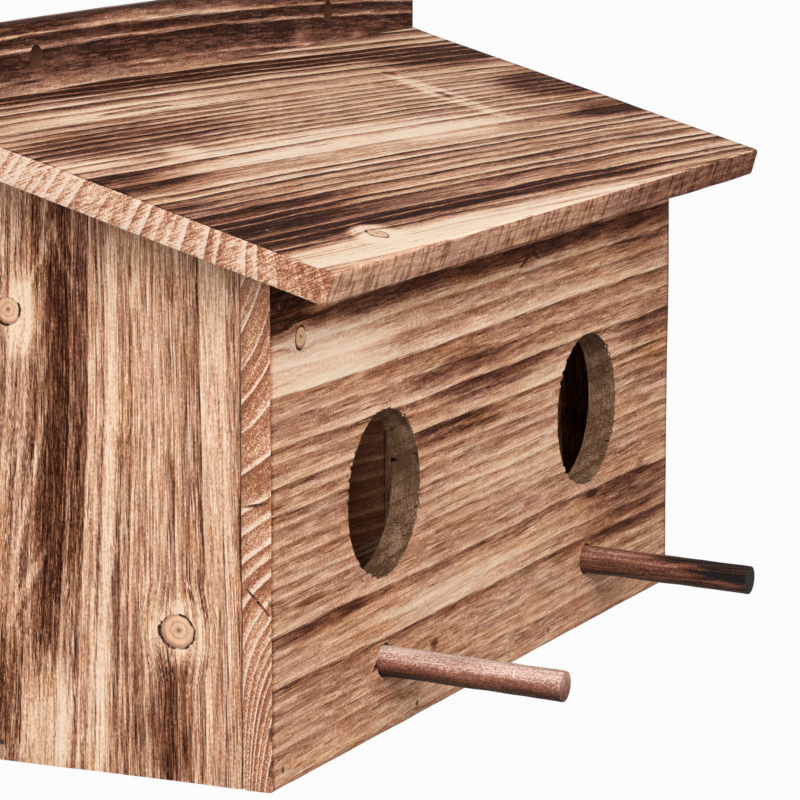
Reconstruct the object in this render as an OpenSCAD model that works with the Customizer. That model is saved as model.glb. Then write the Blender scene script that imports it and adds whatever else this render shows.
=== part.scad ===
// Twin-entrance nest box of flamed softwood boards, hung by two holes in its tall back panel.
// Frame: +X to the right seen from the front, +Y to the back, +Z up, in millimetres.
// The origin is on the underside of the floor, at the middle of the box.

/* [Box] */
// Outside width of the box across its front
body_w = 310; // [260:1:400]
// Outside depth from the front face to the back face of the back panel
body_d = 116; // [90:1:180]
// Height of the front panel at its front face
front_h = 151.5; // [130:0.5:200]
// Thickness of the front panel
front_t = 10; // [8:0.5:16]
// Thickness of each side panel
side_t = 10; // [6:0.5:16]
// Thickness of the floor panel
floor_t = 10; // [6:0.5:16]
// Radius that eases the long edges of the boards
edge_r = 1.5; // [0.5:0.1:2.5]

/* [Roof] */
// Thickness of the roof board
roof_t = 10; // [7:0.5:16]
// Slope of the roof in degrees, down to the front
roof_pitch = 16; // [8:0.5:30]
// Overhang of the roof and of the back panel past each side panel
side_overhang = 15.5; // [5:0.5:40]
// Overhang of the roof's lower edge past the front face
front_overhang = 24.5; // [10:0.5:60]

/* [Back panel] */
// Thickness of the back panel
back_t = 10; // [7:0.5:16]
// Height of the back panel above the top of the roof
back_rise = 21.5; // [18:0.5:60]
// Diameter of each hanging hole
hanging_hole_d = 7; // [4:0.1:9]
// Distance between the two hanging holes
hanging_hole_spacing = 200; // [120:1:280]
// Depth of the hanging holes' centres below the top edge of the back panel
hanging_hole_drop = 11; // [8:0.5:12]

/* [Entrances] */
// Diameter of each round entrance
entrance_d = 50.5; // [28:0.5:60]
// Distance between the two entrances
entrance_spacing = 159.5; // [100:0.5:190]
// Height of the entrances' centres above the base
entrance_z = 74.5; // [65:0.5:90]

/* [Perches] */
// Diameter of each perch dowel
perch_d = 9.6; // [6:0.1:14]
// Length of each perch in front of the front face
perch_reach = 59; // [30:1:100]
// Depth of the drilled socket that holds the perch
perch_socket = 7.5; // [4:0.5:7.5]
// Height of the perches' centres above the base, at the front face
perch_z = 23; // [15:0.5:32]
// Slope of the perches in degrees, down to the tip
perch_droop = 1.9; // [0:0.1:4]

/* [Hidden] */
// Glue film between a perch and its socket
perch_film = 0.1;
// Bevel round the sawn tip of a perch
perch_tip_bevel = 0.6;
// Overrun of every cut past the face that it leaves
overrun = 1;
// Facets in each eased edge
edge_steps = 5;
// Segments of a drawn circle
$fn = 64;

front_y = -body_d / 2;
back_y = body_d / 2;
// Inner faces of the front panel and of the back panel
chamber_front_y = front_y + front_t;
chamber_back_y = back_y - back_t;
chamber_w = body_w - 2 * side_t;
roof_w = body_w + 2 * side_overhang;

// Height of the roof's underside at a distance from front to back
function roof_under(y) = front_h + (y - front_y) * tan(roof_pitch);
roof_rise = roof_t / cos(roof_pitch);
roof_edge_y = front_y - front_overhang;
back_h = roof_under(chamber_back_y) + roof_rise + back_rise;

WOOD_LIGHT = "burlywood";
WOOD_WARM = "peru";
WOOD_DARK = "saddlebrown";

function unit(v) = v / norm(v);
function nearest_turn(a) = a > 180 ? a - 360 : (a < -180 ? a + 360 : a);

// Points that ease the corner p, between its neighbours a and b, to the radius r
function eased_corner(a, p, b, r) =
    let (
        u = unit(a - p),
        v = unit(b - p),
        half = acos(u * v) / 2,
        centre = p + unit(u + v) * r / sin(half),
        start = p + u * r / tan(half) - centre,
        end = p + v * r / tan(half) - centre,
        from = atan2(start.y, start.x),
        turn = nearest_turn(atan2(end.y, end.x) - from)
    )
    [for (i = [0 : edge_steps]) centre + r * [cos(from + turn * i / edge_steps), sin(from + turn * i / edge_steps)]];

// Outline of a board's end from its corners, each eased to its own radius, 0 for a sharp one
function eased_outline(corners, radii) =
    let (n = len(corners))
    [
        for (i = [0 : n - 1])
            for (p = radii[i] == 0
                    ? [corners[i]]
                    : eased_corner(corners[(i + n - 1) % n], corners[i], corners[(i + 1) % n], radii[i]))
                p
    ];

// A board that runs along X, centred, with its end outline given in Y and Z
module board_along_x(length, outline) {
    rotate([90, 0, 90]) linear_extrude(height = length, center = true) polygon(outline);
}

// A round cutter along Y, through a panel of thickness t whose front face is at y
module drill_y(x, y, z, d, t) {
    translate([x, y - overrun, z]) rotate([-90, 0, 0]) cylinder(h = t + 2 * overrun, d = d);
}

// Moves a perch, or its socket, from its own axis to its place on the front face
module at_perch(x) {
    translate([x, front_y, perch_z]) rotate([90 + perch_droop, 0, 0]) children();
}

// Front board: full width, its top edge bevelled to the roof, its lower edge eased
module front_panel() {
    outline = eased_outline(
        [
            [front_y, 0],
            [chamber_front_y, 0],
            [chamber_front_y, roof_under(chamber_front_y)],
            [front_y, roof_under(front_y)]
        ],
        [edge_r, edge_r, 0, 0]
    );
    color(WOOD_WARM)
        difference() {
            board_along_x(body_w, outline);
            for (side = [-1, 1]) {
                drill_y(side * entrance_spacing / 2, front_y, entrance_z, entrance_d, front_t);
                at_perch(side * entrance_spacing / 2)
                    translate([0, 0, -perch_socket])
                        cylinder(h = perch_socket + overrun, d = perch_d + 2 * perch_film);
            }
        }
}

// Side board: its grain stands upright, and its top edge follows the roof
module side_panel(side) {
    outline = [
        [chamber_front_y, 0],
        [chamber_back_y, 0],
        [chamber_back_y, roof_under(chamber_back_y)],
        [chamber_front_y, roof_under(chamber_front_y)]
    ];
    color(WOOD_LIGHT)
        translate([side * (body_w - side_t) / 2, 0, 0])
            board_along_x(side_t, outline);
}

// Back board: as wide as the roof, and tall enough to carry the hanging holes above it
module back_panel() {
    outline = eased_outline(
        [[chamber_back_y, 0], [back_y, 0], [back_y, back_h], [chamber_back_y, back_h]],
        [0, edge_r, edge_r, edge_r]
    );
    color(WOOD_DARK)
        difference() {
            board_along_x(roof_w, outline);
            for (side = [-1, 1])
                drill_y(side * hanging_hole_spacing / 2, chamber_back_y, back_h - hanging_hole_drop,
                        hanging_hole_d, back_t);
        }
}

// Floor board: let in between the four walls, flush with their lower edges
module floor_panel() {
    outline = [[chamber_front_y, 0], [chamber_back_y, 0], [chamber_back_y, floor_t], [chamber_front_y, floor_t]];
    color(WOOD_LIGHT) board_along_x(chamber_w, outline);
}

// Roof board: its rear edge is bevelled to stand flat against the back panel, its front edge square
module roof_panel() {
    lower_z = roof_under(roof_edge_y);
    square_edge = roof_t * [-sin(roof_pitch), cos(roof_pitch)];
    outline = eased_outline(
        [
            [roof_edge_y, lower_z],
            [chamber_back_y, roof_under(chamber_back_y)],
            [chamber_back_y, roof_under(chamber_back_y) + roof_rise],
            [roof_edge_y, lower_z] + square_edge
        ],
        [edge_r, 0, 0, edge_r]
    );
    color(WOOD_WARM) board_along_x(roof_w, outline);
}

// Perch: a dowel glued into its socket, with a small bevel round the sawn tip
module perch(side) {
    color(WOOD_DARK)
        at_perch(side * entrance_spacing / 2) {
            translate([0, 0, perch_film - perch_socket])
                cylinder(h = perch_reach + perch_socket - perch_film - perch_tip_bevel, d = perch_d);
            translate([0, 0, perch_reach - perch_tip_bevel])
                cylinder(h = perch_tip_bevel, d1 = perch_d, d2 = perch_d - 2 * perch_tip_bevel);
        }
}

front_panel();
side_panel(-1);  // left_side_panel
side_panel(1);  // right_side_panel
back_panel();
floor_panel();
roof_panel();
perch(-1);  // left_perch
perch(1);  // right_perch
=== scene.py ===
import math
from typing import NamedTuple

import bmesh
import bpy
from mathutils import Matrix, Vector


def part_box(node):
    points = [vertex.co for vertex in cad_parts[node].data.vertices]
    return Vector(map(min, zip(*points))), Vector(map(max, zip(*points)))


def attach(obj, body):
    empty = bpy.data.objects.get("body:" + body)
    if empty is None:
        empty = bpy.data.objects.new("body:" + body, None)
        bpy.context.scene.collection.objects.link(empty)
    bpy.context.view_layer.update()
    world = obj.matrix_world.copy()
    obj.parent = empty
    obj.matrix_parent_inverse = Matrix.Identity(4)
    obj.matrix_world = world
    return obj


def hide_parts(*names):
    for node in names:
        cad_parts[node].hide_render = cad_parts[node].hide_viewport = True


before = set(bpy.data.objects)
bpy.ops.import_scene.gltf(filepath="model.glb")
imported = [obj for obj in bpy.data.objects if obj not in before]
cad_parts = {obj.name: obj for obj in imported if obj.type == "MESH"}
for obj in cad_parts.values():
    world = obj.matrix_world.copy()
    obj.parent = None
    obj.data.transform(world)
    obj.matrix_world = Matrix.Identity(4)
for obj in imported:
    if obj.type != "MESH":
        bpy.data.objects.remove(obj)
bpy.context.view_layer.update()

bl_info = {
    "name": "Flamed Nest Box",
    "version": (1, 0, 0),
    "blender": (4, 5, 0),
    "location": "View3D > Sidebar > Nest Box",
    "description": "Dresses the solids of a hanging nest box as flamed and brushed softwood boards",
    "category": "Object",
}

WHITE = (1.0, 1.0, 1.0, 1.0)
MM = 0.001
TO_MM = (1000, 1000, 1000)
PITCH = math.radians(16)
ROOF_THICKNESS = 10


def linear(code):
    """A colour written as sRGB hex, such as "#c08a63", in the linear values that shaders use."""
    steps = [int(code[i:i + 2], 16) / 255 for i in (1, 3, 5)]
    return tuple(s / 12.92 if s <= 0.04045 else ((s + 0.055) / 1.055) ** 2.4 for s in steps)


def opaque(colour):
    """A linear colour with its alpha, as colour sockets and ramps take it."""
    return (*colour, 1.0)


def colour_property(name, description, code):
    """A colour that a user can change, written as sRGB hex."""
    return bpy.props.FloatVectorProperty(
        name=name, description=description, default=linear(code), subtype="COLOR", min=0.0, max=1.0
    )


def length_property(name, description, default_mm):
    """A length that a user can change, written in millimetres."""
    return bpy.props.FloatProperty(
        name=name, description=description, default=default_mm * MM, min=0.0, unit="LENGTH"
    )


def angle_property(name, description, default):
    """An angle that a user can change, in radians."""
    return bpy.props.FloatProperty(name=name, description=description, default=default, subtype="ANGLE")


class NestBoxSizes(bpy.types.PropertyGroup):
    """Sizes of the roof, the holes, the perches and the nails, and of the boards' wear."""

    roof_pitch: angle_property("Roof pitch", "Slope of the roof board, down to the front", PITCH)
    roof_thickness: length_property("Roof thickness", "Thickness of the roof board", ROOF_THICKNESS)
    edge_ease: length_property("Edge easing", "Radius of the boards' long edges", 1.5)
    end_break: length_property("Sawn corner", "Small break of the sawn ends' corners", 0.35)
    perch_break: length_property("Perch tip", "Small break of the perches' tips", 0.35)
    board_waver: length_property("Board waver", "How far a board's faces stray from flat", 0.5)
    entrance_radius: length_property("Entrance radius", "Radius of the round entrances", 25.25)
    entrance_x: length_property("Entrance place", "Distance of the entrances from the middle of the front", 79.75)
    entrance_z: length_property("Entrance height", "Height of the entrances above the base", 74.5)
    perch_radius: length_property("Perch radius", "Radius of the perch dowels", 4.8)
    perch_reach: length_property("Perch reach", "Length of the perches in front of the front board", 59)
    perch_socket: length_property("Perch socket", "Depth of the sockets that hold the perches", 7.5)
    perch_gap: length_property("Perch gap", "Open ring round a perch at the face of the front board", 0.35)
    perch_z: length_property("Perch height", "Height of the perches above the base, at the front board", 23)
    perch_droop: angle_property("Perch droop", "Slope of the perches, down to the tip", math.radians(1.9))
    hanging_radius: length_property("Hanging hole radius", "Radius of the holes in the back board", 3.5)
    hanging_x: length_property("Hanging hole place", "Distance of the hanging holes from the middle", 100)
    hanging_drop: length_property("Hanging hole drop", "Depth of the hanging holes below the back board's top", 11)
    nail_radius: length_property("Nail head radius", "Radius of a nail's head", 0.95)


class NestBoxColours(bpy.types.PropertyGroup):
    """Colours of the wood, from bare to burnt, and of the nails and the studio."""

    bare: colour_property("Bare wood", "Palest wood, that the flame hardly touched", "#efd7be")
    honey: colour_property("Warmed wood", "Wood that the flame only warmed", "#e0b593")
    tan: colour_property("Toasted wood", "Wood toasted to a middle brown", "#ba8260")
    brown: colour_property("Browned wood", "Wood browned all through", "#83503b")
    umber: colour_property("Scorched wood", "Dark bands that the flame scorched", "#5a3323")
    char: colour_property("Char", "Charred wood", "#2a140c")
    end_cream: colour_property("End grain, pale", "Pale rings of the sawn ends", "#ebd4c2")
    end_red: colour_property("End grain, warm", "Warm brown between the rings of the sawn ends", "#b97a58")
    bored: colour_property("Bored wood", "Torn fibres in the bored entrances", "#6a4a34")
    # The palest dowel colour is also the painted highlight along the perches' tops
    dowel_pale_and_highlight: colour_property("Dowel, pale", "Hardwood of the perches where the flame only warmed it", "#e6cdc0")
    dowel: colour_property("Dowel, flamed", "Flamed hardwood of the perches", "#9a6350")
    soot: colour_property("Soot", "Burnt tip of a perch", "#0d0706")
    steel: colour_property("Nail steel", "Dull steel of the nail heads", "#332b28")
    studio: colour_property("Studio white", "Paper of the studio floor", "#989898")


# Materials


def feed(tree, node, feeds):
    """Gives a node's inputs, by name or in order, what feeds them: values, sockets or nodes."""
    for key, value in feeds.items() if isinstance(feeds, dict) else enumerate(feeds):
        if isinstance(value, bpy.types.Node):
            value = value.outputs[0]
        if isinstance(value, bpy.types.NodeSocket):
            tree.links.new(value, node.inputs[key])
        else:
            node.inputs[key].default_value = value


def add(tree, kind, feeds=(), **settings):
    """Adds one shader node, with its settings and what feeds its inputs."""
    node = tree.nodes.new("ShaderNode" + kind)
    for key, value in settings.items():
        setattr(node, key, value)
    feed(tree, node, feeds)
    return node


def set_stops(ramp, stops):
    """Gives a colour ramp its stops, each a place from 0 to 1 and a colour."""
    elements = ramp.color_ramp.elements
    while len(elements) > 1:
        elements.remove(elements[-1])
    for i, (place, colour) in enumerate(stops):
        stop = elements[0] if i == 0 else elements.new(place)
        stop.position = place
        stop.color = opaque(colour)


def new_material(name):
    """An empty material with its shader and output, and its node tree."""
    material = bpy.data.materials.new(name)
    material.use_nodes = True
    tree = material.node_tree
    tree.nodes.clear()
    shader = add(tree, "BsdfPrincipled", {"IOR": 1.5})
    add(tree, "OutputMaterial", {"Surface": shader})
    return material, tree, shader


class Grain(NamedTuple):
    """How one board was cut from its log: all lengths in millimetres, in the board's own directions.

    turn, scale and shift lead from the object's directions to the board's: along runs with the grain, across
    over the face, and deep points out of the flamed face, which is at 0. rings are the ring edges across the
    face, each with how dark the flame burnt the wood up to it. lean, bow and fan tilt and curve them along the
    board, cant and cup through its thickness, and wander is how far they stray. length is that of the board,
    whose tips are darker, and crest the width of the pale start of a ring. skew is the fibres' own slope across
    the rings, and feather how far they fray a ring's edge. The face at the depth bare was never flamed. knots
    and scorches are ovals: along, across, their two radii and, for a scorch, its darkness and its tilt in
    degrees. A few dark scorches are painted shade rather than burnt wood. seed sets the chance of it all.
    """

    turn: tuple
    scale: tuple
    shift: tuple
    rings: tuple
    lean: float = 0.0
    bow: float = 0.0
    fan: float = 0.0
    cant: float = 0.6
    cup: tuple = (0.0, 0.0)
    wander: float = 3.0
    length: float = 1000.0
    crest: float = 2.6
    skew: float = 0.0
    feather: float = 2.5
    bare: float = -10.0
    knots: tuple = ()
    scorches_and_shade: tuple = ()
    seed: float = 0.0


# A colour ramp holds 32 stops and a ring takes three, so nine rings go into each
RINGS_PER_RAMP = 9
# In millimetres: a ring's sharp edge, then the sizes along, across and through a board of the rings' slow drift,
# of their fine fraying and of a knot's ragged rim, and a length past that of any board
RING_EDGE = 0.3
DRIFT = (110, 38, 60)
FRAY = (40, 0.26, 2)
RAGGED = (2.2, 2.2, 9)
ENDLESS = 1000
# How far round a knot the rings bend towards it, in its radii along and across, and how strongly
EDDY = (3.2, 2.2)
EDDY_PULL = 0.6


def grain_field(tree, grain):
    """The board's growth rings.

    Gives the plain place, the place along the bent grain, and for the ring there how far across it the point
    lies, how dark the flame burnt it, and the pale crest where it starts, all from 0 to 1.
    """
    at = add(tree, "TexCoord").outputs["Object"]
    board = {"Vector": at, "Location": grain.shift, "Rotation": grain.turn, "Scale": grain.scale}
    place = add(tree, "Mapping", board)
    along, across, deep = add(tree, "SeparateXYZ", (place,)).outputs
    slope = add(tree, "Math", (along, grain.bow, grain.lean), operation="MULTIPLY_ADD")
    slope = add(tree, "Math", (across, grain.fan, slope), operation="MULTIPLY_ADD")
    ring_at = add(tree, "Math", (along, slope, across), operation="MULTIPLY_ADD")
    off = add(tree, "Math", (across, grain.cup[0]), operation="SUBTRACT")
    off = add(tree, "Math", (off, 2.0), operation="POWER")
    cant = add(tree, "Math", (off, -grain.cup[1], -grain.cant), operation="MULTIPLY_ADD")
    ring_at = add(tree, "Math", (deep, cant, ring_at), operation="MULTIPLY_ADD")
    waves = {"Vector": place, "Location": (grain.seed, 0, 0), "Scale": [1 / size for size in DRIFT]}
    drift_at = add(tree, "Mapping", waves)
    drift = add(tree, "TexNoise", {"Vector": drift_at, "Scale": 1.0, "Detail": 1.5})
    drift = add(tree, "Math", (drift, 0.5), operation="SUBTRACT")
    ring_at = add(tree, "Math", (drift, grain.wander, ring_at), operation="MULTIPLY_ADD")
    fibres = {"Vector": place, "Rotation": (0, 0, math.atan(grain.skew)), "Scale": FRAY}
    fray_at = add(tree, "Mapping", fibres, vector_type="TEXTURE")
    fray = add(tree, "TexNoise", {"Vector": fray_at, "Scale": 1.0, "Detail": 2.0})
    fray = add(tree, "Math", (fray, 0.5), operation="SUBTRACT")
    ring_at = add(tree, "Math", (fray, grain.feather, ring_at), operation="MULTIPLY_ADD")
    for u, v, radius_u, radius_v in grain.knots:
        eddy = {"Vector": place, "Location": (u, v, 0), "Scale": (radius_u * EDDY[0], radius_v * EDDY[1], ENDLESS)}
        near_at = add(tree, "Mapping", eddy, vector_type="TEXTURE")
        near = add(tree, "TexGradient", {"Vector": near_at}, gradient_type="SPHERICAL")
        pull = add(tree, "Math", (v, across), operation="SUBTRACT")
        pull = add(tree, "Math", (pull, near.outputs["Fac"]), operation="MULTIPLY")
        ring_at = add(tree, "Math", (pull, EDDY_PULL, ring_at), operation="MULTIPLY_ADD")
    found = None
    for first in range(0, len(grain.rings) - 1, RINGS_PER_RAMP):
        group = grain.rings[first:first + RINGS_PER_RAMP + 1]
        low, high = group[0][0], group[-1][0]
        stops = [(low, (0, 0, 0))]
        for (start, before), (edge, level) in zip(group, group[1:]):
            begin, end = start + RING_EDGE, edge - RING_EDGE / 2
            crest = min(grain.crest, 0.5 * (end - begin))
            part = crest / (end - begin)
            stops += [(begin, (0, level, before)), (begin + crest, (part, level, 0)), (end, (1, level, 0))]
        stops.append((high, (0, 0, 0)))
        span = add(tree, "MapRange", {"Value": ring_at, "From Min": low, "From Max": high})
        ramp = add(tree, "ValToRGB", {"Fac": span})
        set_stops(ramp, [((at - low) / (high - low), value) for at, value in stops])
        found = ramp if found is None else add(tree, "VectorMath", (found, ramp), operation="ADD")
    bent = add(tree, "CombineXYZ", (along, ring_at, deep))
    return place, bent, add(tree, "SeparateXYZ", (found,)).outputs


def knot_distance(tree, place, grain, shift):
    """How far a point is from the nearest knot's heart, where 1 is its bark, with a little raggedness.

    shift moves the hearts towards one corner, as a share of the radius, so that two distances make a crescent.
    """
    nearest = None
    for u, v, radius_u, radius_v in grain.knots:
        heart = (u + shift * radius_u, v + shift * radius_v, 0)
        oval = {"Vector": place, "Location": heart, "Scale": (radius_u, radius_v, ENDLESS)}
        at = add(tree, "Mapping", oval, vector_type="TEXTURE")
        far = add(tree, "VectorMath", (at,), operation="LENGTH").outputs["Value"]
        nearest = far if nearest is None else add(tree, "Math", (nearest, far), operation="MINIMUM")
    ragged_at = add(tree, "Mapping", {"Vector": place, "Scale": [1 / size for size in RAGGED]})
    ragged = add(tree, "TexNoise", {"Vector": ragged_at, "Scale": 1.0, "Detail": 3.0})
    ragged = add(tree, "Math", (ragged, 0.5), operation="SUBTRACT")
    return add(tree, "Math", (ragged, 0.16, nearest), operation="MULTIPLY_ADD")


def streaks(tree, place, seed, length, width, low, high, depth=None, tilt=0.0):
    """Noise drawn out along the grain, in millimetres, stretched so that low to high becomes -0.5 to 0.5.

    depth draws it out through the board too, and tilt turns it about the grain, in degrees.
    """
    drawn = {"Vector": place, "Rotation": (math.radians(tilt), 0, 0), "Scale": (length, width, depth or width)}
    at = add(tree, "Mapping", drawn, vector_type="TEXTURE")
    at = add(tree, "VectorMath", (at, (seed, 0, 0)), operation="ADD")
    noise = add(tree, "TexNoise", {"Vector": at, "Scale": 1.0, "Detail": 2.5, "Roughness": 0.62})
    stretch = {"Value": noise, "From Min": low, "From Max": high, "To Min": -0.5, "To Max": 0.5}
    return add(tree, "MapRange", stretch)


def flamed_board(name, grain, colours, warmth=0.4, ring_gain=0.48, crest_gain=0.34, thin=2.8, speck=0.26,
                 fibre=(17, 0.22, 0.7), streak=(160, 1.6, 0.05), hair=(45, 0.4, 0.1), flicker=0.5, chatter=0.0,
                 knot_show=1.0, gold=1.0):
    """Flamed and brushed fir: the flame scorched the soft early wood and left the hard ring edges pale.

    The eye gets saw-toothed dark bands along the grain, dense fine streaks, black-rimmed knots in pale
    eddies, and a matt face whose ring edges stand a little proud. A planed edge also shows chatter marks.
    warmth is how brown the face is before its rings, and the gains are those of the dark rings and of their
    pale crests. thin is how narrow a cool ring's dark edge is, and flicker how much it comes and goes. speck is
    the strength of the finest grain. fibre, streak and hair each have a length and a width in millimetres and
    a strength. knot_show is how far a knot has its own colours, and gold how deep the wood's are, 1 as written.
    """
    material, tree, shader = new_material(name)
    place, bent, (phase, level, crest) = grain_field(tree, grain)
    along, across, deep = add(tree, "SeparateXYZ", (bent,)).outputs

    # Where the flame dwelt: broad patches, then the scorches and pale spots that show on this board. A few dark
    # scorches are painted shade: the shadow under the front board's roof and the shade in the roof's crack
    heat = streaks(tree, bent, grain.seed + 53, 150, 17, 0.25, 0.75)
    heat = add(tree, "Math", (heat, 0.2), operation="MULTIPLY")
    for u, v, radius_u, radius_v, amount, *tilt in grain.scorches_and_shade:
        turn = (0, 0, math.radians(tilt[0] if tilt else 0))
        oval = {"Vector": bent, "Location": (u, v, 0), "Rotation": turn, "Scale": (radius_u, radius_v, ENDLESS)}
        spot_at = add(tree, "Mapping", oval, vector_type="TEXTURE")
        spot = add(tree, "TexGradient", {"Vector": spot_at}, gradient_type="SPHERICAL").outputs["Fac"]
        spot = add(tree, "MapRange", {"Value": spot, "From Max": 0.7}, interpolation_type="SMOOTHSTEP")
        heat = add(tree, "Math", (spot, amount, heat), operation="MULTIPLY_ADD")

    # A cool ring keeps only a thin dark edge, and a hot one is dark right across
    flame = streaks(tree, bent, grain.seed + 7, 75, 11, 0.3, 0.7)
    flame = add(tree, "Math", (flame, flicker, 0.95), operation="MULTIPLY_ADD")
    cool_to_hot = {"Value": heat, "From Min": -0.3, "From Max": 0.4, "To Min": thin, "To Max": 0.7}
    spread = add(tree, "MapRange", cool_to_hot)
    ring = add(tree, "Math", (phase, spread), operation="POWER")
    for part in (level, flame):
        ring = add(tree, "Math", (ring, part), operation="MULTIPLY")
    dark = add(tree, "Math", (heat, 0.75, warmth), operation="MULTIPLY_ADD")
    tip = add(tree, "Math", (along,), operation="ABSOLUTE")
    end = grain.length / 2
    tip = add(tree, "MapRange", {"Value": tip, "From Min": end - 2.5, "From Max": end, "To Max": 0.3})
    for part, gain in ((ring, ring_gain), (crest, -crest_gain), (tip, flame)):
        dark = add(tree, "Math", (part, gain, dark), operation="MULTIPLY_ADD")
    dark = add(tree, "Math", (dark, 1.0, 0.25), operation="SMOOTH_MIN")

    # Specks, brushed fibres in patches where the wood is browned, long streaks and a few dark hairs. Real fibres
    # are about 0.04 mm wide, so the finest here are bundles of 0.2 to 0.4 mm, which show
    skew = add(tree, "Math", (along, -grain.skew, across), operation="MULTIPLY_ADD")
    skewed = add(tree, "CombineXYZ", (along, skew, deep))
    dust = streaks(tree, skewed, grain.seed + 3, 1.0, 0.34, 0.35, 0.65)
    fine = streaks(tree, skewed, grain.seed, *fibre[:2], 0.38, 0.62)
    patch = streaks(tree, bent, grain.seed + 41, 30, 4, 0.36, 0.64)
    patch = add(tree, "Math", (patch, 0.4, 0.8), operation="MULTIPLY_ADD")
    fine = add(tree, "Math", (fine, patch), operation="MULTIPLY")
    long = streaks(tree, bent, grain.seed + 31, *streak[:2], 0.34, 0.66)
    line = streaks(tree, bent, grain.seed + 97, *hair[:2], 0.55, 0.68)
    line = add(tree, "Math", (line, 0.5), operation="ADD")
    weight = add(tree, "MapRange", {"Value": dark, "From Min": 0.05, "From Max": 0.45, "To Min": 0.35})
    texture = add(tree, "Math", (fine, weight), operation="MULTIPLY")
    for part, gain in ((dust, speck), (texture, fibre[2]), (long, streak[2]), (line, hair[2])):
        dark = add(tree, "Math", (part, gain, dark), operation="MULTIPLY_ADD")

    # The brushed relief follows the ring edges, the fibres and the hairs, whatever the flame did
    relief = add(tree, "Math", (phase, 2.0), operation="POWER")
    for part in (level, -0.8 * ring_gain):
        relief = add(tree, "Math", (relief, part), operation="MULTIPLY")
    gains = (crest, 0.8 * crest_gain), (fine, 0.8 - 0.7 * fibre[2]), (dust, -0.8 * speck), (line, -0.8 * hair[2])
    for part, gain in gains:
        relief = add(tree, "Math", (part, gain, relief), operation="MULTIPLY_ADD")
    if chatter:
        marks = {"Vector": place, "Rotation": (0, 0, math.radians(-10)), "Scale": (2.4, 14, ENDLESS)}
        beat_at = add(tree, "Mapping", marks, vector_type="TEXTURE")
        beat = add(tree, "TexNoise", {"Vector": beat_at, "Scale": 1.0, "Detail": 1.5})
        nicks = {"Value": beat, "From Min": 0.5, "From Max": 0.62, "To Min": -0.1, "To Max": 0.9}
        beat = add(tree, "MapRange", nicks)
        dark = add(tree, "Math", (beat, chatter, dark), operation="MULTIPLY_ADD")
        relief = add(tree, "Math", (beat, -0.6, relief), operation="MULTIPLY_ADD")
    low, high = grain.bare + 0.6, grain.bare + 1.8
    reached = add(tree, "MapRange", {"Value": deep, "From Min": low, "From Max": high, "To Min": 0.45})
    dark = add(tree, "Math", (dark, reached), operation="MULTIPLY")

    tone = add(tree, "ValToRGB", {"Fac": dark})
    set_stops(tone, [
        (0.0, colours.bare), (0.2, colours.honey), (0.42, colours.tan),
        (0.64, colours.brown), (0.84, colours.umber), (1.0, colours.char),
    ])
    blush = streaks(tree, bent, grain.seed + 71, 60, 9, 0.3, 0.7)
    depth = add(tree, "Math", (blush, 0.12, gold), operation="MULTIPLY_ADD")
    blush = add(tree, "Math", (blush, 0.008, 0.499), operation="MULTIPLY_ADD")
    colour = add(tree, "HueSaturation", {"Hue": blush, "Saturation": depth, "Color": tone})
    if grain.knots:
        far = knot_distance(tree, place, grain, 0.0)
        inner = knot_distance(tree, place, grain, 0.09)
        heart = add(tree, "ValToRGB", {"Fac": add(tree, "Math", (inner, 0.5), operation="MULTIPLY")})
        set_stops(heart, [
            (0.0, colours.brown), (0.02, colours.char), (0.04, colours.brown), (0.06, colours.tan),
            (0.13, colours.honey), (0.19, colours.honey), (0.23, colours.tan), (0.26, colours.honey),
            (0.35, colours.honey), (0.41, colours.tan), (0.48, colours.brown),
        ])
        show = add(tree, "MapRange", {"Value": far, "From Min": 1.0, "From Max": 0.9, "To Max": knot_show})
        colour = add(tree, "Mix", {"Factor": show, 6: colour, 7: heart}, data_type="RGBA").outputs[2]
        # The bark is a black line that thins and breaks on its way round
        off = add(tree, "Math", (far, 0.94), operation="SUBTRACT")
        off = add(tree, "Math", (off,), operation="ABSOLUTE")
        broken = streaks(tree, place, grain.seed + 5, 3.2, 3.2, 0.4, 0.6)
        broken = add(tree, "Math", (broken, 0.13, 0.045), operation="MULTIPLY_ADD")
        bark = add(tree, "Math", (broken, off), operation="SUBTRACT")
        bark = add(tree, "MapRange", {"Value": bark, "From Min": -0.02, "From Max": 0.03, "To Max": 0.95})
        bark = {"Factor": bark, 6: colour, 7: opaque(colours.char)}
        colour = add(tree, "Mix", bark, data_type="RGBA").outputs[2]

    rough = add(tree, "MapRange", {"Value": dark, "To Min": 0.55, "To Max": 0.75})
    bump = add(tree, "Bump", {"Height": relief, "Strength": 0.9, "Distance": 0.2 * MM})
    feed(tree, shader, {"Base Color": colour, "Roughness": rough, "Normal": bump, "Specular IOR Level": 0.02})
    return material


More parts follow.
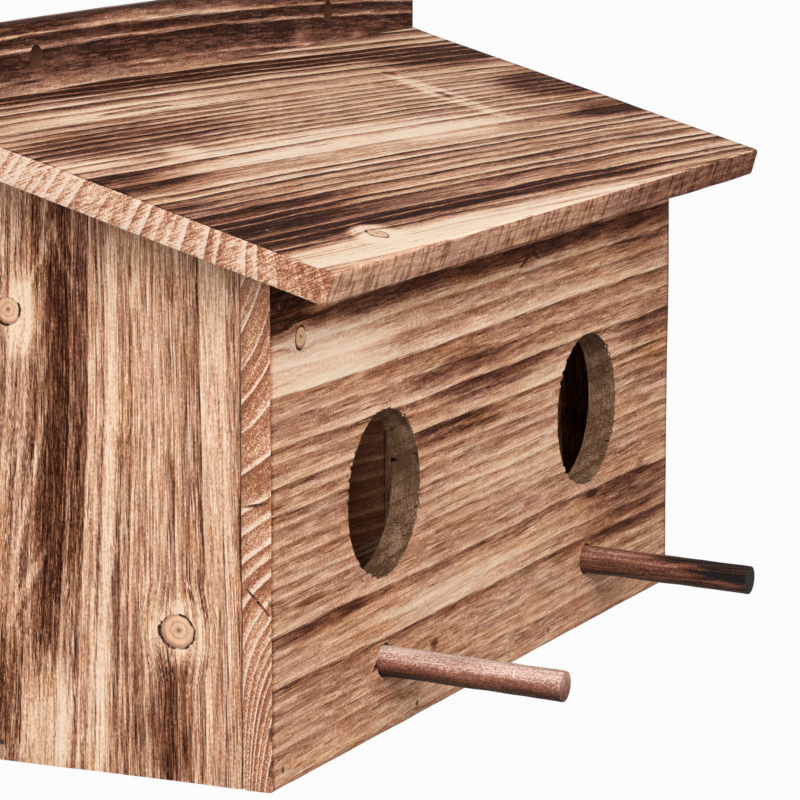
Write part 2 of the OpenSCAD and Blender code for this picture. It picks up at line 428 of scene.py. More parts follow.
def sawn_end(name, grain, colours, warm=0.5, fall=0.0, edge_gain=0.35, line_gain=0.95, saw=(50, 0.66)):
    """Sawn end grain of fir: rough cut fibres that soak up light, with pale ring lines and slanting saw marks.

    warm is the brown of the cut and fall its change across the face, the gains are those of the dark ring
    edges and of the pale lines beside them, and saw is the saw marks' slope in degrees and their strength.
    """
    material, tree, shader = new_material(name)
    place, bent, (phase, level, crest) = grain_field(tree, grain)
    across = add(tree, "SeparateXYZ", (place,)).outputs["Y"]

    # Cut fibres in bundles of 0.4 mm, coarser than real ones so that they show, saw marks drawn out to 4 mm,
    # and cloudy patches that follow the rings
    pit = streaks(tree, place, grain.seed, 4, 0.42, 0.36, 0.64)
    tooth = streaks(tree, place, grain.seed + 5, 40, 0.42, 0.36, 0.64, 4.0, saw[0])
    torn = streaks(tree, bent, grain.seed + 7, 30, 1.6, 0.34, 0.66, 4.0)
    cloud = streaks(tree, bent, grain.seed + 9, 60, 7, 0.32, 0.68, 25.0)
    line = add(tree, "Math", (torn, 0.8), operation="ADD")
    line = add(tree, "Math", (crest, line), operation="MULTIPLY")
    edge = add(tree, "Math", (phase, 3.0), operation="POWER")
    edge = add(tree, "Math", (edge, level), operation="MULTIPLY")
    tint = add(tree, "Math", (across, fall, warm), operation="MULTIPLY_ADD")
    gains = (cloud, 0.4), (torn, 0.22), (edge, edge_gain), (line, -line_gain), (pit, 0.62), (tooth, saw[1])
    for part, gain in gains:
        tint = add(tree, "Math", (part, gain, tint), operation="MULTIPLY_ADD")
    tone = add(tree, "ValToRGB", {"Fac": tint})
    set_stops(tone, [
        (0.05, colours.end_cream), (0.32, colours.honey), (0.62, colours.end_red), (1.0, colours.brown),
    ])
    relief = add(tree, "Math", (tooth, saw[1], pit), operation="MULTIPLY_ADD")
    bump = add(tree, "Bump", {"Height": relief, "Strength": 0.9, "Distance": 0.15 * MM})
    rough = add(tree, "MapRange", {"Value": pit, "From Min": -0.5, "From Max": 0.5, "To Min": 0.7, "To Max": 0.95})
    feed(tree, shader, {"Base Color": tone, "Roughness": rough, "Normal": bump, "Specular IOR Level": 0.1})
    return material


def bored_wall(name, grain, colours, singed_and_shade=0.36):
    """Bored fir: fibres that the drill tore and rubbed, so the wall is grey-brown, furry and dull.

    The last argument is how far the drill's heat browned the wall; the back board's larger value of it is partly
    painted shade in its hanging holes.
    """
    material, tree, shader = new_material(name)
    place, _, (phase, _, _) = grain_field(tree, grain)

    # Fur of 0.35 mm, coarser than real fibres so that it shows, the drill's scores round the wall, and smears
    fur = streaks(tree, place, grain.seed, 9, 0.35, 0.35, 0.65)
    score = streaks(tree, place, grain.seed + 11, 8, 8, 0.35, 0.65, depth=0.4)
    smear = streaks(tree, place, grain.seed + 3, 16, 9, 0.3, 0.7)
    edge = add(tree, "Math", (phase, 8.0), operation="POWER")
    tint = add(tree, "Math", (edge, 0.2, singed_and_shade), operation="MULTIPLY_ADD")
    for part, gain in ((fur, 0.3), (score, 0.1), (smear, 0.26)):
        tint = add(tree, "Math", (part, gain, tint), operation="MULTIPLY_ADD")
    tone = add(tree, "ValToRGB", {"Fac": tint})
    set_stops(tone, [(0.0, colours.honey), (0.4, colours.bored), (1.0, colours.umber)])
    bump = add(tree, "Bump", {"Height": fur, "Strength": 0.9, "Distance": 0.25 * MM})
    rough = add(tree, "MapRange", {"Value": fur, "From Min": -0.5, "From Max": 0.5, "To Min": 0.8, "To Max": 0.98})
    feed(tree, shader, {"Base Color": tone, "Roughness": rough, "Normal": bump, "Specular IOR Level": 0.1})
    return material


def turned_dowel(name, colours, droop, middle, toast, char, shade, over, line):
    """Turned hardwood, flamed: fine pores along the dowel, a toasted satin skin and, towards the tip, char.

    droop and the middle height at Y 0 say where the dowel runs, so that shade paints its underside darker, as
    painted shade, and its top a little paler, as a painted highlight. toast is how brown the skin is, and the char
    comes in between two depths in front of Y 0, sooner on top by over times the height. line is the strength of
    the long dark grain. All lengths are in millimetres.
    """
    material, tree, shader = new_material(name)
    at = add(tree, "TexCoord").outputs["Object"]
    place = add(tree, "Mapping", {"Vector": at, "Rotation": (0, 0, math.radians(90)), "Scale": TO_MM})
    # Pores 0.3 mm wide, coarser than real ones so that they show, cloudy patches and long dark grain
    pore = streaks(tree, place, 3.0, 0.8, 0.32, 0.36, 0.64)
    cloud = streaks(tree, place, 17.0, 26, 3.2, 0.3, 0.7)
    grain_line = streaks(tree, place, 29.0, 30, 0.7, 0.36, 0.64)
    along, _, height = add(tree, "SeparateXYZ", (place,)).outputs
    rise = add(tree, "Math", (along, math.tan(droop), height), operation="MULTIPLY_ADD")
    rise = add(tree, "Math", (rise, middle), operation="SUBTRACT")
    depth = add(tree, "Math", (cloud, 24.0, along), operation="MULTIPLY_ADD")
    depth = add(tree, "Math", (rise, over, depth), operation="MULTIPLY_ADD")
    burnt = add(tree, "MapRange", {"Value": depth, "From Min": char[0], "From Max": char[1], "To Max": 0.5})
    # Painted shade and highlight: darker below the dowel's middle, paler on its top
    down = {"Value": rise, "From Min": 2.5, "From Max": -4.2, "To Min": -0.12, "To Max": shade}
    below = add(tree, "MapRange", down)
    level = add(tree, "Math", (below, toast), operation="ADD")
    for part, gain in ((pore, 0.36), (cloud, 0.26), (grain_line, line)):
        level = add(tree, "Math", (part, gain, level), operation="MULTIPLY_ADD")
    level = add(tree, "Math", (level, burnt), operation="ADD")
    tone = add(tree, "ValToRGB", {"Fac": level})
    set_stops(tone, [
        (0.0, colours.dowel_pale_and_highlight), (0.34, colours.dowel), (0.68, colours.umber), (1.0, colours.soot),
    ])
    rough = add(tree, "MapRange", {"Value": level, "To Min": 0.42, "To Max": 0.8})
    bump = add(tree, "Bump", {"Height": pore, "Strength": 0.5, "Distance": 0.2 * MM})
    feed(tree, shader, {"Base Color": tone, "Roughness": rough, "Normal": bump, "Specular IOR Level": 0.22})
    return material


def nail_steel(name, colours):
    """Drawn steel wire nail: a dull grey head, a little scaled by the flame."""
    material, tree, shader = new_material(name)
    place = add(tree, "Mapping", {"Vector": add(tree, "TexCoord").outputs["Object"], "Scale": TO_MM})
    # Patches of scale about 0.7 mm across
    scale = add(tree, "TexNoise", {"Vector": place, "Scale": 1.4, "Detail": 2.0})
    tone = add(tree, "ValToRGB", {"Fac": scale})
    set_stops(tone, [(0.35, colours.steel), (0.7, colours.umber)])
    rough = add(tree, "MapRange", {"Value": scale, "To Min": 0.5, "To Max": 0.75})
    feed(tree, shader, {"Base Color": tone, "Roughness": rough, "Metallic": 0.4})
    return material


# How the boards were cut, as measured on the box in millimetres

FRONT_LOW, FRONT_HIGH = (Vector(c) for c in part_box("front_panel"))
SIDE_LOW, SIDE_HIGH = (Vector(c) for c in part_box("left_side_panel"))
BACK_LOW, BACK_HIGH = (Vector(c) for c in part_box("back_panel"))
ROOF_LOW, ROOF_HIGH = (Vector(c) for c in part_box("roof_panel"))
UPRIGHT = (math.radians(-90), 0, 0)
SIDEWAYS = (0, math.radians(90), 0)
ROOF_FRONT_Y, ROOF_FRONT_Z = -85.256, 154.088
ROOF_TOP_SHIFT = (
    0,
    -(ROOF_FRONT_Y * math.cos(PITCH) + ROOF_FRONT_Z * math.sin(PITCH)),
    ROOF_FRONT_Y * math.sin(PITCH) - ROOF_FRONT_Z * math.cos(PITCH),
)
FASCIA_SHIFT = (0, ROOF_TOP_SHIFT[2] + ROOF_THICKNESS, -ROOF_TOP_SHIFT[1])

FRONT_GRAIN = Grain(
    UPRIGHT, TO_MM, (0, 0, FRONT_LOW.y / MM),
    rings=(
        (-14, 0.3), (-6, 0.3), (3, 0.3), (12, 0.4), (15.5, 0.25), (19, 0.3), (24, 0.25), (30.5, 0.75),
        (35.7, 0.35), (40.3, 0.25), (46.3, 0.7), (56.6, 0.4), (60.5, 0.5), (63.2, 0.3), (67.1, 0.6),
        (71.8, 0.4), (77, 0.45), (80.6, 0.6), (84.7, 0.45), (88.4, 0.85), (94.6, 0.4), (99, 0.9),
        (107, 0.45), (114.3, 0.75), (122, 0.4), (128.5, 0.55), (137, 0.7), (146, 0.6), (156, 0.8),
        (170, 0.6), (185, 0.6), (200, 0.6),
    ),
    cant=0.55, cup=(75, 0.0005), wander=4.0, length=310.0, skew=0.02, feather=2.8, seed=11.0,
    knots=((-135.5, 129.5, 3.7, 3.6),),
    scorches_and_shade=(
        # The dark ovals at (-152, 142) and (0, 137), along the top under the roof, are partly burn and partly
        # painted shadow of the roof
        (-120, 122, 66, 13, -0.45), (-152, 142, 38, 11, 0.85), (0, 137, 210, 9, 0.42),
        (132, 129, 50, 12, 0.3), (-20, 105, 60, 7, 0.3), (5, 96.5, 66, 5, 0.35), (-30, 86, 56, 5, 0.35),
        (142, 96, 44, 10, 0.3), (142, 80, 34, 8, 0.2), (122, 41, 60, 10, 0.4), (120, 31, 62, 6, 0.35),
        (-120, 44, 44, 4, 0.35), (-20, 36, 100, 6, -0.3), (60, 92, 66, 4, -0.25),
        (10, 116.5, 170, 3.5, -0.2), (40, 66, 90, 12, -0.2), (85, 44.5, 7, 1.6, 0.5),
        (27, 132, 7.5, 1.1, 0.4, 24), (35, 133, 4.5, 1, 0.35, -25), (54, 133.5, 8, 1, 0.3, -16),
        (-122, 52, 30, 1.1, 0.35), (-43.4, 20.3, 4, 2.6, 0.45),
    ),
)
FRONT_END_GRAIN = Grain(
    UPRIGHT, TO_MM, (0, 0, FRONT_LOW.y / MM),
    rings=(
        (-20, 0.5), (-8, 0.7), (3, 0.5), (14, 0.7), (23, 0.8), (29, 0.5), (35, 0.6), (39, 0.8), (43, 0.4),
        (47, 0.5), (52, 0.6), (57.5, 0.5), (64.4, 1.0), (70, 0.6), (74.4, 1.0), (81.6, 0.7), (87.5, 0.8),
        (100, 0.9), (115, 0.7), (127, 1.0), (141, 0.6), (158, 0.8), (180, 0.7), (200, 0.8), (230, 0.6),
    ),
    cant=0.65, cup=(80, 0.0007), wander=5.0, crest=2.0, feather=1.2, seed=19.0,
)
LEFT_GRAIN = Grain(
    SIDEWAYS, (1000, -1000, 1000), (-80, 0, SIDE_LOW.x / MM),
    rings=(
        (-62, 0.5), (-54, 0.6), (-46, 0.55), (-37, 0.6), (-31, 0.5), (-26, 0.62), (-20, 0.72), (-9, 0.85),
        (-2.5, 0.95), (0.8, 0.5), (3.2, 0.4), (10, 0.45), (12.8, 0.6), (18, 0.4), (20.5, 0.45), (27.5, 0.6),
        (32, 0.5), (36.2, 0.8), (42.8, 0.35), (50, 0.4), (58, 0.5), (66, 0.5),
    ),
    lean=-0.036, fan=0.0013, cant=0.9, wander=4.0, length=400.0, skew=-0.02, feather=1.8, seed=23.0,
    knots=((54.5, -27.5, 4.4, 4.6), (-35.2, 27.3, 5.4, 6.0)),
    scorches_and_shade=(
        (12, -12, 95, 13, 0.5), (75, -12, 46, 20, 0.28), (-64, 25.5, 32, 9, 0.5), (-68, -10, 30, 11, -0.4),
        (0, 6, 120, 3, -0.38), (10, -0.5, 90, 2, -0.2), (20, 42, 90, 6, -0.3), (54, -26, 20, 9, -0.55),
        (-35, 28, 13, 10, -0.4), (-55, -26, 30, 8, 0.2), (46, -16, 16, 2, -0.3, 14),
        (72, -12, 16, 1.5, -0.3, -22), (8, -20, 42, 1.5, -0.32, 9), (20, 17, 60, 5, -0.15),
        (70, -20, 18, 1.6, -0.3, 24), (-24, -19, 22, 2.2, -0.3, 26), (-66, 3, 40, 4, -0.3),
        (40, 33.5, 80, 3.5, 0.16), (-60, 15, 40, 2.4, 0.25), (-62, -27, 26, 5, 0.22),
        (-26, 8.5, 26, 3, 0.25),
    ),
)
RIGHT_GRAIN = Grain(
    SIDEWAYS, (-1000, 1000, 1000), (-95, 4, SIDE_LOW.x / MM),
    rings=LEFT_GRAIN.rings, lean=0.03, fan=0.001, cant=0.9, wander=7.0, length=500.0, bare=-1000.0, seed=61.0,
    knots=((30.0, 12.0, 5.0, 5.5),),
    scorches_and_shade=(
        (-50, -20, 60, 14, 0.35), (40, 30, 90, 12, -0.3), (30, 12, 18, 11, -0.45), (60, -5, 60, 10, 0.3),
        (-60, 36, 40, 9, 0.3),
    ),
)
ROOF_GRAIN = Grain(
    (-PITCH, 0, 0), TO_MM, ROOF_TOP_SHIFT,
    rings=(
        (-25, 0.3), (-12, 0.3), (-4, 0.35), (4, 0.3), (10.6, 0.5), (16, 0.7), (19.4, 0.85), (27.6, 0.7),
        (31.1, 0.8), (37.6, 0.75), (41.5, 0.5), (45.3, 0.5), (49.6, 0.85), (53.6, 0.75), (63.3, 0.5),
        (71.8, 0.8), (76, 0.5), (80.2, 0.55), (83.6, 0.5), (86.5, 0.5), (90, 0.6), (93.4, 0.6), (96.8, 0.5),
        (99.5, 0.55), (103, 0.5), (107.6, 0.5), (114.6, 0.5), (120.6, 0.75), (125.1, 0.8), (128.4, 0.8),
        (132.1, 0.95), (135.8, 1.0), (141, 0.8), (148, 0.7), (156, 0.7),
    ),
    lean=0.06, bow=0.00005, cant=-0.39, cup=(100, 0.00011), wander=2.5, length=341.0, feather=0.9, seed=37.0,
    knots=((-114.5, 13.7, 4.2, 3.6),),
    scorches_and_shade=(
        (-160, 18, 84, 12, 0.5), (-145, 31, 96, 15, 0.38), (-60, 17, 90, 9, 0.42), (40, 16, 80, 8, 0.36),
        (0, 0, 420, 11, -0.55), (-115, 8, 15, 11, -0.7), (-25, 69, 140, 14, -0.5), (-165, 63, 56, 12, 0.36),
        (-112, 92, 90, 16, 0.34), (-80, 112, 100, 7, -0.38), (0, 131, 280, 8, 0.45),
        (165, 89, 56, 18, 0.55), (160, 61, 62, 9, 0.5), (140, 121, 60, 12, 0.5), (84, 91, 9, 30, -0.5),
        (-104, 79, 14, 8, -0.3), (40, 64, 60, 9, -0.3), (84, 89, 6, 11, 0.5), (83.5, 84, 3, 4, -0.5),
        # The dark oval at (-79, 111.1), along the crack in the top, is painted shade in the crack
        (84.5, 91, 3, 4, 0.3), (66.5, 105, 5, 4, 0.15), (86, 113, 5, 4, 0.35), (-79, 111.1, 25, 1.1, 3.0),
        (-165, 80, 40, 6, -0.25), (-172, 45, 60, 4, 0.3),
    ),
)
FASCIA_GRAIN = Grain(
    (-PITCH - math.pi / 2, 0, 0), TO_MM, FASCIA_SHIFT,
    rings=((-8, 0.5), (-3, 0.6), (1.5, 0.6), (4.4, 0.5), (7.2, 0.5), (10.5, 0.5), (15, 0.6)),
    lean=-0.012, cant=0.4, wander=7.0, length=341.0, bare=-1000.0, seed=43.0,
    scorches_and_shade=((150, 5, 150, 40, 0.3), (-150, 5, 60, 40, -0.1)),
)
BACK_GRAIN = Grain(
    UPRIGHT, TO_MM, (0, 0, BACK_LOW.y / MM),
    rings=(
        (-12, 0.6), (4, 0.7), (18, 0.6), (33, 0.7), (45, 0.8), (60, 0.6), (72, 0.7), (88, 0.8), (101, 0.7),
        (117, 0.6), (130, 0.75), (146, 0.8), (158, 0.7), (172, 0.7), (184, 0.8), (191.3, 0.4), (195.5, 0.5),
        (204.5, 0.9), (208.8, 0.85), (216, 0.7), (226, 0.7),
    ),
    lean=0.02, bow=0.00014, cant=0.5, wander=2.5, length=341.0, crest=1.1, bare=-1000.0, seed=53.0,
    scorches_and_shade=(
        (0, 192.5, 420, 4.5, -0.45), (-15, 210.5, 80, 3, -0.4), (80, 198, 12, 6, -0.3), (124, 196, 8, 6, -0.3),
    ),
)
REAR_GRAIN = Grain(
    UPRIGHT, TO_MM, (0, 0, BACK_HIGH.y / MM),
    rings=FRONT_GRAIN.rings + ((212, 0.7), (224, 0.5), (240, 0.6)),
    lean=-0.012, bow=0.00006, wander=7.0, length=341.0, skew=0.02, bare=-1000.0, seed=29.0,
    knots=((62, 121, 5.2, 4.4), (-98, 47, 4.2, 3.8)),
    scorches_and_shade=(
        (-90, 170, 120, 26, 0.3), (110, 60, 90, 30, 0.32), (-40, 90, 140, 16, -0.25),
        (120, 196, 80, 14, -0.3), (-130, 20, 70, 18, 0.35), (62, 121, 26, 14, -0.4),
        (-98, 47, 20, 11, -0.4), (20, 14, 120, 10, 0.25),
    ),
)
INNER_GRAIN = Grain(
    UPRIGHT, TO_MM, (0, 0, BACK_LOW.y / MM),
    rings=tuple((6.5 * i - 8, 0.3 + 0.15 * (i % 3)) for i in range(34)),
    lean=0.02, bow=0.00008, cant=0.7, wander=9.0, bare=-1000.0, seed=83.0,
)
FLOOR_GRAIN = Grain(
    (math.pi, 0, 0), TO_MM, (0, 55, 0),
    rings=tuple((4.5 * i - 12, 0.4 + 0.2 * (i % 3)) for i in range(34)),
    lean=0.015, bow=0.00006, cant=0.7, wander=8.0, bare=-1000.0, seed=71.0,
)


# Nails and marks, as measured on the box in millimetres


def roof_top(x, down):
    """A place on the roof's top face, in millimetres: along the front edge and up the slope from it."""
    return (x, ROOF_FRONT_Y + down * math.cos(PITCH), ROOF_FRONT_Z + down * math.sin(PITCH))


FRONT_Y, REAR_Y, SIDE_X = FRONT_LOW.y / MM, BACK_HIGH.y / MM, SIDE_LOW.x / MM
UP, AHEAD, ASTERN = (0, 0, 1), (0, -1, 0), (0, 1, 0)
ROOF_UP = (0, -math.sin(PITCH), math.cos(PITCH))
NAILS = {
    "front_board": [
        ((x, FRONT_Y, z), AHEAD)
        for x, z in ((-149, 140.3), (-148, 5.7), (150, 132.8), (150, 75.2), (-56, 4.2), (48, 5))
    ],
    "left_side_board": [((SIDE_X, y, z), (-1, 0, 0)) for y, z in ((-23, 3.4), (31.8, 5.6))],
    "right_side_board": [((-SIDE_X, y, z), (1, 0, 0)) for y, z in ((-26, 4.2), (30, 5))],
    "back_board": [
        ((x, REAR_Y, z), ASTERN)
        for x, z in ((-150, 20), (-150, 88), (-150, 160), (150, 22), (150, 90), (150, 158), (-60, 5), (58, 5))
    ],
    "roof_board": [(roof_top(x, 30), ROOF_UP) for x in (-152, -50, 53, 152)],
}
NAIL_SUNK = 0.35
NAIL_LENGTH = 6.0
POCKET_GAP = 0.06


# Shaping

# A length that counts as none, one that is well short of a board's thickness, and a length right through a board
SNUG, NEAR, THROUGH = 0.01 * MM, 0.1 * MM, 30 * MM
# Steps at which a board is cut up over its face and through its thickness, and the size of the soft waves in it
FACE_STEP, THICK_STEP, WAVE = 5 * MM, 3.4 * MM, 34 * MM
# How far a direction has to lean one way to count as facing it, or as running straight along it
FACING, STRAIGHT = 0.7, 0.99
# The angles, in radians, from which an edge counts as a board's own and from which it is shaded as a crease
SHARP_ANGLE, SMOOTH_ANGLE = 0.8, math.radians(35)
ENTRANCE_SIDES, DOWEL_SIDES, NAIL_SIDES = 128, 48, 20


def pick(piece):
    """Makes a piece the only one that is selected, and the active one."""
    bpy.ops.object.select_all(action="DESELECT")
    piece.select_set(True)
    bpy.context.view_layer.objects.active = piece


def start_block(name, low, high):
    """A block between two corners, as a new object with its place in its mesh."""
    bpy.ops.object.select_all(action="DESELECT")
    low, high = Vector(low), Vector(high)
    bpy.ops.mesh.primitive_cube_add(size=1, location=(low + high) / 2, scale=high - low)
    piece = bpy.context.active_object
    piece.name = piece.data.name = name
    bpy.ops.object.transform_apply(location=True, rotation=True, scale=True)
    return piece


def edit(piece, on=True):
    """Goes into edit mode on a piece, or out of it."""
    if on:
        pick(piece)
    bpy.ops.object.mode_set(mode="EDIT" if on else "OBJECT")


def select(piece, kind, test):
    """In edit mode, selects the corners, edges or faces whose middle and own element pass a test."""
    bpy.ops.mesh.select_mode(type=kind)
    bpy.ops.mesh.select_all(action="DESELECT")
    shape = bmesh.from_edit_mesh(piece.data)
    chosen = {"VERT": shape.verts, "EDGE": shape.edges, "FACE": shape.faces}[kind]
    for part in chosen:
        corners = [part.co] if kind == "VERT" else [v.co for v in part.verts]
        middle = sum(corners, Vector()) / len(corners)
        if test(middle, part):
            part.select_set(True)
    shape.select_flush_mode()
    bmesh.update_edit_mesh(piece.data)


def slide(piece, test, step):
    """Moves the corners that pass a test."""
    select(piece, "VERT", test)
    bpy.ops.transform.translate(value=step)


def start_sloped(name, low, high, pitch):
    """A block between two corners, in edit mode, whose top slopes down to the front."""
    rise = (high.y - low.y) * math.tan(pitch)
    piece = start_block(name, low, (high.x, high.y, high.z - rise))
    edit(piece)
    slide(piece, lambda p, part: p.y > high.y - NEAR and p.z > low.z + 1 * MM, (0, 0, rise))
    return piece


def ease(piece, test, radius, segments):
    """Rounds the edges that pass a test."""
    select(piece, "EDGE", test)
    bpy.ops.mesh.bevel(offset=radius, segments=segments, affect="EDGES", profile=0.5)


def along_x(part):
    """True for an edge that runs along X."""
    span = part.verts[1].co - part.verts[0].co
    return abs(span.x) > STRAIGHT * span.length


def slice_up(piece, steps):
    """Cuts the piece across X, Y and Z at about even steps, so that it can waver."""
    corners = [v.co for v in bmesh.from_edit_mesh(piece.data).verts]
    for axis, step in enumerate(steps):
        low, high = min(c[axis] for c in corners), max(c[axis] for c in corners)
        count = max(2, round((high - low) / step))
        normal = [0, 0, 0]
        normal[axis] = 1
        for i in range(1, count):
            at = [0, 0, 0]
            at[axis] = low + (high - low) * i / count
            bpy.ops.mesh.select_all(action="SELECT")
            bpy.ops.mesh.bisect(plane_co=at, plane_no=normal)
        corners = [v.co for v in bmesh.from_edit_mesh(piece.data).verts]


def apply_modifier(piece, kind, **settings):
    """Adds one modifier and applies it."""
    modifier = piece.modifiers.new(kind.title(), kind)
    for key, value in settings.items():
        setattr(modifier, key, value)
    pick(piece)
    bpy.ops.object.modifier_apply(modifier=modifier.name)


def drill(middle, direction, radius, length, sides):
    """A round cutter about a middle, in metres."""
    bpy.ops.object.select_all(action="DESELECT")
    turn = Vector(UP).rotation_difference(Vector(direction)).to_euler()
    bpy.ops.mesh.primitive_cylinder_add(
        vertices=sides, radius=radius, depth=length, location=middle, rotation=turn
    )
    return bpy.context.active_object


def pebble(middle, radii, turn=(0, 0, 0), sides=24):
    """An oval cutter for chips and cracks, in millimetres."""
    bpy.ops.object.select_all(action="DESELECT")
    bpy.ops.mesh.primitive_uv_sphere_add(
        segments=sides, ring_count=sides // 2, radius=MM,
        location=Vector(middle) * MM, rotation=turn, scale=radii,
    )
    return bpy.context.active_object


def cut(piece, cutters, touching=False):
    """Takes the cutters out of the piece, all at once; touching allows for faces that run into each other."""
    bpy.ops.object.select_all(action="DESELECT")
    for cutter in cutters:
        cutter.select_set(True)
    bpy.context.view_layer.objects.active = cutters[0]
    if len(cutters) > 1:
        bpy.ops.object.join()
    apply_modifier(
        piece, "BOOLEAN", operation="DIFFERENCE", object=cutters[0], solver="EXACT", use_self=touching
    )
    bpy.data.objects.remove(cutters[0], do_unlink=True)


def nail_pockets(sizes, board):
    """Cutters for the holes that a board's nails sit in."""
    radius, depth = sizes.nail_radius + POCKET_GAP * MM, 2 * (NAIL_SUNK + NAIL_LENGTH) * MM
    return [drill(Vector(at) * MM, out, radius, depth, NAIL_SIDES) for at, out in NAILS[board]]


def waver(piece, size, depth):
    """Lets the faces fall short of flat, in soft waves of a size, as sawn and dried boards do."""
    clouds = bpy.data.textures.new(piece.name + "_waver", "CLOUDS")
    clouds.noise_scale = size
    clouds.noise_depth = 1
    apply_modifier(
        piece, "DISPLACE", texture=clouds, texture_coords="LOCAL", direction="NORMAL",
        strength=depth, mid_level=1.0,
    )
    bpy.data.textures.remove(clouds)


def season(piece, steps, size, depth):
    """Cuts up a piece that is in edit mode, leaves that mode, and lets the faces waver."""
    slice_up(piece, steps)
    edit(piece, False)
    waver(piece, size, depth)


def finish_piece(piece, node, materials, which=None):
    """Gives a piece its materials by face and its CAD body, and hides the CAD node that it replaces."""
    for material in materials:
        piece.data.materials.append(material)
    if which:
        for face in piece.data.polygons:
            face.material_index = which(face.center, face.normal)
    pick(piece)
    bpy.ops.object.shade_smooth_by_angle(angle=SMOOTH_ANGLE)
    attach(piece, "root")
    if node:
        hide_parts(node)


def sharp(part):
    """True for an edge between two faces that meet at a clear angle."""
    return len(part.link_faces) == 2 and part.calc_face_angle(0) > SHARP_ANGLE


def ease_ends(piece, high, radius):
    """Breaks the corners round a board's two sawn ends."""
    ease(piece, lambda p, part: abs(abs(p.x) - high.x) < SNUG and sharp(part), radius, 2)


def on_end(p, n, high):
    """True for a face of one of a board's two sawn ends."""
    return abs(n.x) > FACING and abs(p.x) > high.x - 1 * MM


def flat_edge(part):
    """True for an edge that runs level."""
    return abs(part.verts[0].co.z - part.verts[1].co.z) < SNUG


# Pieces


class NESTBOX_OT_front_board(bpy.types.Operator):
    """Front board with its two bored entrances and its perch sockets"""

    bl_idname = "nestbox.front_board"
    bl_label = "Front Board"

    def torn_rim(self, sizes):
        """Cutters for the splinters that the drill tore from the entrances' rims."""
        chips = []
        each = 36
        for i in range(2 * each):
            turn = math.radians(10 * i + 3 * math.sin(7.3 * i))
            size = 0.25 + 0.6 * math.sin(12.9 * i) ** 4
            x = (sizes.entrance_x if i < each else -sizes.entrance_x) + sizes.entrance_radius * math.cos(turn)
            z = sizes.entrance_z + sizes.entrance_radius * math.sin(turn)
            chips.append(pebble((x / MM, FRONT_Y, z / MM), (1.7 * size, 0.9 * size, 0.7 * size), sides=10))
        return chips

    def execute(self, context):
        sizes = context.scene.nest_box_sizes
        colours = context.scene.nest_box_colours
        low, high = FRONT_LOW, FRONT_HIGH
        piece = start_sloped("front_board", low, high, sizes.roof_pitch)
        edit(piece, False)
        middle_y = (low.y + high.y) / 2
        outward = (0, -math.cos(sizes.perch_droop), -math.sin(sizes.perch_droop))
        cutters = []
        for side in (-1, 1):
            x = side * sizes.entrance_x
            entrance, socket = (x, middle_y, sizes.entrance_z), (x, low.y, sizes.perch_z)
            cutters.append(drill(entrance, AHEAD, sizes.entrance_radius, THROUGH, ENTRANCE_SIDES))
            wide = sizes.perch_radius + sizes.perch_gap
            cutters.append(drill(socket, outward, wide, sizes.perch_socket * 2, DOWEL_SIDES))
        cut(piece, cutters)
        cut(piece, self.torn_rim(sizes))
        edit(piece)
        ease(piece, lambda p, part: along_x(part) and p.z < low.z + NEAR, sizes.edge_ease, 4)
        ease_ends(piece, high, sizes.end_break)
        season(piece, (FACE_STEP, THICK_STEP, FACE_STEP), 30 * MM, sizes.board_waver)
        # With the nails' pockets, two dents in the face and two cracks in the left end
        cut(piece, nail_pockets(sizes, "front_board") + [
            pebble((-92.5, FRONT_Y, 51.2), (3.2, 0.7, 1.1)),
            pebble((85, FRONT_Y, 44.6), (5.0, 0.5, 0.8)),
            pebble((SIDE_X, -53, 84), (1.6, 4.2, 0.45), (math.radians(-12), 0, 0)),
            pebble((SIDE_X, -53.2, 56), (1.8, 5.6, 0.5), (math.radians(45), 0, 0)),
        ], touching=True)

        def which(p, n):
            if on_end(p, n, high):
                return 1
            from_middle = min(math.hypot(p.x - s * sizes.entrance_x, p.z - sizes.entrance_z) for s in (-1, 1))
            return 2 if from_middle - sizes.entrance_radius < 1.2 * MM and abs(n.y) < 0.9 else 0

        finish_piece(piece, "front_panel", [
            flamed_board(
                "flamed_fir_front", FRONT_GRAIN, colours, warmth=0.38, ring_gain=0.45, crest_gain=0.3,
                speck=0.27, fibre=(18, 0.21, 0.68),
            ),
            sawn_end("sawn_fir_front_end", FRONT_END_GRAIN, colours, warm=0.6, line_gain=1.25, saw=(-60, 0.25)),
            bored_wall("bored_fir_front", FRONT_GRAIN, colours),
        ], which)
        return {"FINISHED"}


